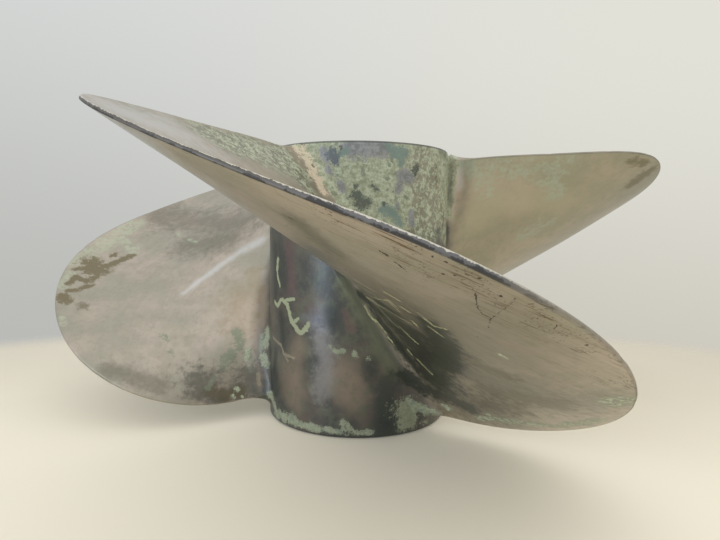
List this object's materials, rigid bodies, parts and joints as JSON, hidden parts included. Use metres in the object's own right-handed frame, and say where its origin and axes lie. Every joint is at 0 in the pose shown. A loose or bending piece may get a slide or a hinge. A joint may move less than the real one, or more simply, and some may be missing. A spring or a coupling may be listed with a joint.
{
  "type": "three-bladed boat propeller",
  "caption": "Left-hand, high-pitch boat propeller: wide blades and plain straight hub cast in one piece, with an exhaust passage round a rubber-bushed, splined sleeve.",
  "frame": {"origin": "on the shaft axis, half way along the hub, which is also the centre of volume", "axes": "+Z along the shaft axis from the forward end of the hub, which is down, to its aft end; -Y is the side the picture shows"},
  "size_m": [0.3618, 0.3397, 0.1462],
  "materials": {
    "cast_alloy": "worn bare light alloy, warm grey, with remains of pale green paint, dark stains, pits and scratches",
    "bush_rubber": "aged black rubber",
    "sleeve_bronze": "dull bronze, greasy in the splines"
  },
  "bodies": {
    "root": {"propeller_casting": "cast_alloy", "rubber_bush": "bush_rubber", "splined_sleeve": "sleeve_bronze"}
  },
  "joints": []
}
